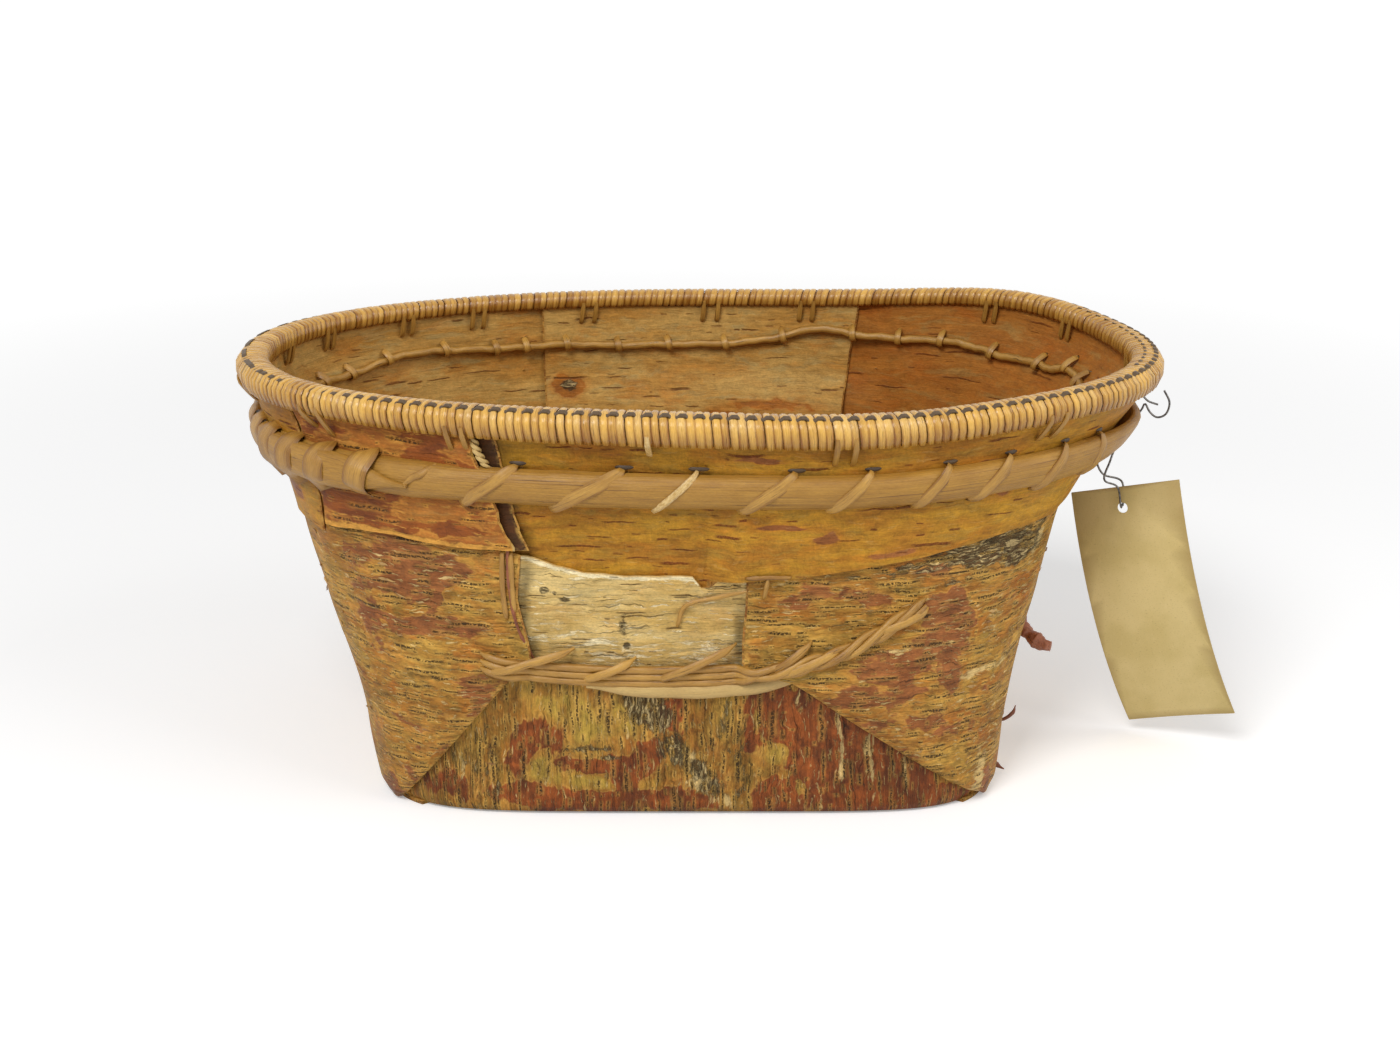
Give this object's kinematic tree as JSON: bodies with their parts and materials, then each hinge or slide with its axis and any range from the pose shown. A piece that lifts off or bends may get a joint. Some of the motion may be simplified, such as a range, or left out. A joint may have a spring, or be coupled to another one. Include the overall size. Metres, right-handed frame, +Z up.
{
  "type": "birch bark basket",
  "caption": "Folded birch bark basket with sewn bark panels, a root-wrapped oval rim, a lashed outer batten and a paper tag on a wire.",
  "frame": {"origin": "centre of the basket's box, on the surface it stands on, measured without the tag and its wire", "axes": "+X along the long axis towards the end with the tag, -Y towards the front, +Z up"},
  "size_m": [0.3832, 0.2257, 0.1605],
  "materials": {
    "bark_tan": "matte birch bark, inner side out, tan with rust patches",
    "bark_gold": "satin birch bark, golden orange with short brown lenticels",
    "bark_red": "satin birch bark, red brown with golden streaks",
    "bark_pale": "matte birch bark, cream with fine cracks",
    "bark_dark": "dark bark strip",
    "split_root": "split root, golden tan, satin",
    "split_wood": "split wood, greyish tan",
    "splint_wood": "split wood, cream tan",
    "tag_card": "uncoated manila card",
    "tag_wire": "dull grey wire"
  },
  "bodies": {
    "basket": {"back_flap_lashing": "split_root", "back_flap_root_1": "split_root", "back_flap_root_2": "split_root", "back_flap_splint": "splint_wood", "back_panel": "bark_tan", "bark_body": "bark_tan", "batten_lashing_back": "split_root", "batten_lashing_front": "split_root", "front_flap_lashing": "split_root", "front_flap_root_1": "split_root", "front_flap_root_2": "split_root", "front_flap_root_3": "split_root", "front_flap_splint": "splint_wood", "front_panel": "bark_gold", "front_patch": "bark_pale", "inner_root": "split_root", "lap_lashing": "split_root", "left_end_panel": "bark_tan", "left_front_panel": "bark_red", "outer_batten": "split_wood", "patch_stitch": "split_root", "rim_inner_hoop": "split_wood", "rim_outer_hoop": "split_wood", "rim_top_strip": "bark_dark", "rim_wrapping": "split_root", "side_stitch": "split_root", "tag_wire": "tag_wire"},
    "tag": {"museum_tag": "tag_card"}
  },
  "joints": [
    {"name": "tag_swing", "type": "hinge", "parent": "basket", "child": "tag", "pos_m": [0.15965, -0.028, 0.09755], "axis": [-0.4344, -0.891, -0.132], "range_deg": [-12, 60]}
  ]
}
